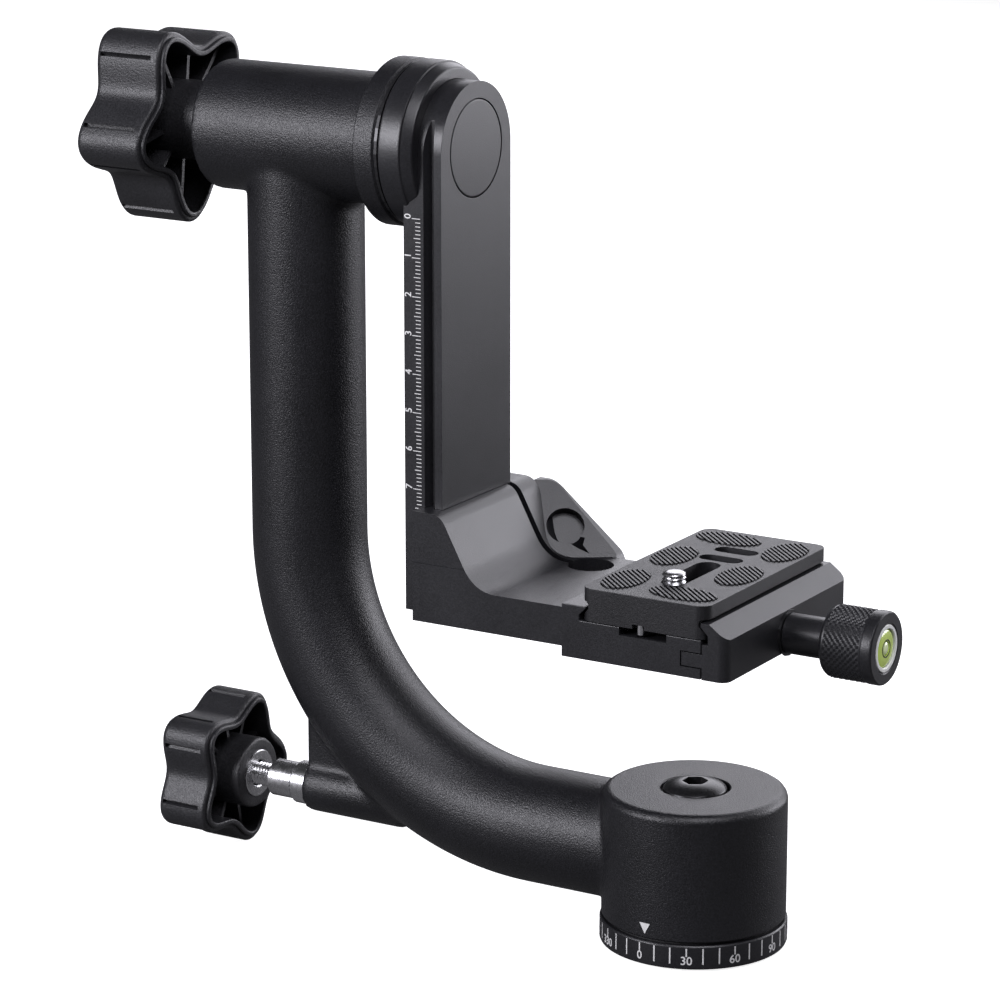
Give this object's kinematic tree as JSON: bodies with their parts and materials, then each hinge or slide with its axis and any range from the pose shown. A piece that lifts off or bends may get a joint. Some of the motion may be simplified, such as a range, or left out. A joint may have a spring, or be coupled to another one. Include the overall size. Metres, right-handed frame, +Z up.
{
  "type": "gimbal tripod head",
  "caption": "Gimbal head for a tripod: a J-shaped swing arm on a panning base carries a tilting rail, an L bracket, a quick-release clamp and a camera plate.",
  "frame": {"origin": "where the panning axis meets the underside of the base, at the mouth of the tripod screw's socket", "axes": "+Z up along the panning axis, +X along the tilt axis from the tilt knob towards the clamp knob, +Y across, along the quick-release channel"},
  "size_m": [0.2236, 0.066, 0.2231],
  "materials": {
    "cast_aluminium_black": "fine-grained satin black powder coat on cast aluminium",
    "black_anodised": "smooth satin black anodised aluminium",
    "black_moulded": "finely grained black moulded plastic",
    "bright_nickel": "polished nickel plate",
    "plain_steel": "turned steel",
    "black_steel": "black oxide steel",
    "bronze": "plain bearing bronze",
    "black_nylon": "smooth black nylon",
    "black_rubber": "ribbed black rubber",
    "white_plastic": "white plastic or white print",
    "level_fluid_green": "lime green fluid seen through a clear lens",
    "level_bubble_clear": "air bubble, paler than the fluid"
  },
  "bodies": {
    "base": {"dial_base": "black_anodised", "tripod_thread_insert": "plain_steel", "pan_spindle": "plain_steel", "pan_glide_ring": "black_nylon", "pan_bolt": "black_steel", "pan_bolt_washer": "plain_steel"},
    "arm": {"swing_arm": "cast_aluminium_black", "tilt_bush_front": "bronze", "tilt_bush_rear": "bronze", "tilt_friction_washer": "plain_steel", "lock_sleeve": "bright_nickel"},
    "pan_brake": {"pan_brake_tip": "bronze"},
    "pan_knob": {"pan_lock_rod": "bright_nickel", "pan_lock_knob": "black_moulded", "pan_knob_insert": "bright_nickel"},
    "tilt_washer": {"tilt_thrust_washer": "plain_steel"},
    "tilt_knob": {"tilt_lock_knob": "black_moulded", "tilt_knob_nut": "plain_steel"},
    "tilt": {"tilt_flange": "black_anodised", "tilt_rail": "black_anodised", "tilt_axle": "plain_steel", "rail_cap": "black_anodised"},
    "platform": {"l_bracket": "black_anodised", "clamp_body": "black_anodised", "clamp_mount_screw_near": "black_steel", "clamp_mount_screw_far": "black_steel"},
    "height_screw": {"height_lock_screw": "black_steel"},
    "jaw": {"clamp_jaw": "black_anodised", "jaw_guide_pin_near": "plain_steel", "jaw_guide_pin_far": "plain_steel", "clamp_knob_washer": "plain_steel"},
    "clamp_knob": {"clamp_knob": "black_anodised", "clamp_screw": "plain_steel", "level_ring": "white_plastic", "level_vial": "level_fluid_green", "level_bubble": "level_bubble_clear"},
    "plate": {"camera_plate": "black_anodised", "plate_pad_1": "black_rubber", "plate_pad_2": "black_rubber", "plate_pad_3": "black_rubber", "plate_pad_4": "black_rubber", "plate_pad_5": "black_rubber", "plate_pad_6": "black_rubber", "plate_stop_screw_near": "bright_nickel", "plate_stop_screw_far": "bright_nickel"},
    "screw_carriage": {"camera_screw_washer": "bright_nickel"},
    "camera_screw": {"camera_screw": "bright_nickel"}
  },
  "joints": [
    {"name": "pan_turn", "type": "hinge", "parent": "base", "child": "arm", "pos_m": [0, 0, 0.022], "axis": [0, 0, 1], "continuous": true},
    {"name": "pan_brake_slide", "type": "slide", "parent": "arm", "child": "pan_brake", "axis": [-1, 0, 0], "range_m": [0, 0.00125]},
    {"name": "pan_knob_turn", "type": "hinge", "parent": "pan_brake", "child": "pan_knob", "pos_m": [-0.1464, 0, 0.021], "axis": [-1, 0, 0], "range_deg": [0, 360]},
    {"name": "tilt_washer_slide", "type": "slide", "parent": "arm", "child": "tilt_washer", "axis": [-1, 0, 0], "range_m": [0, 0.0015]},
    {"name": "tilt_knob_turn", "type": "hinge", "parent": "tilt_washer", "child": "tilt_knob", "pos_m": [-0.16, 0, 0.1988], "axis": [-1, 0, 0], "range_deg": [0, 360]},
    {"name": "tilt_turn", "type": "hinge", "parent": "arm", "child": "tilt", "pos_m": [-0.08, 0, 0.1988], "axis": [1, 0, 0], "continuous": true},
    {"name": "height_slide", "type": "slide", "parent": "tilt", "child": "platform", "axis": [0, 0, 1], "range_m": [0, 0.0745]},
    {"name": "height_screw_turn", "type": "hinge", "parent": "platform", "child": "height_screw", "pos_m": [-0.0545, 0.027, 0.0862], "axis": [0, 1, 0], "range_deg": [0, 360]},
    {"name": "jaw_slide", "type": "slide", "parent": "platform", "child": "jaw", "axis": [1, 0, 0], "range_m": [0, 0.004]},
    {"name": "clamp_knob_turn", "type": "hinge", "parent": "jaw", "child": "clamp_knob", "pos_m": [0.045, 0, 0.0852], "axis": [1, 0, 0], "range_deg": [0, 1440]},
    {"name": "plate_slide", "type": "slide", "parent": "platform", "child": "plate", "axis": [0, 1, 0], "range_m": [-0.02, 0.02]},
    {"name": "camera_screw_slide", "type": "slide", "parent": "plate", "child": "screw_carriage", "axis": [0, 1, 0], "range_m": [0, 0.017]},
    {"name": "camera_screw_turn", "type": "hinge", "parent": "screw_carriage", "child": "camera_screw", "pos_m": [0.0024, -0.0169, 0.097], "axis": [0, 0, 1], "continuous": true}
  ],
  "couplings": [
    {"joint": "pan_knob_turn", "follows": "pan_brake_slide", "rad_per_m": 5026.5},
    {"joint": "tilt_knob_turn", "follows": "tilt_washer_slide", "rad_per_m": 4188.8},
    {"joint": "clamp_knob_turn", "follows": "jaw_slide", "rad_per_m": 6283.2}
  ]
}
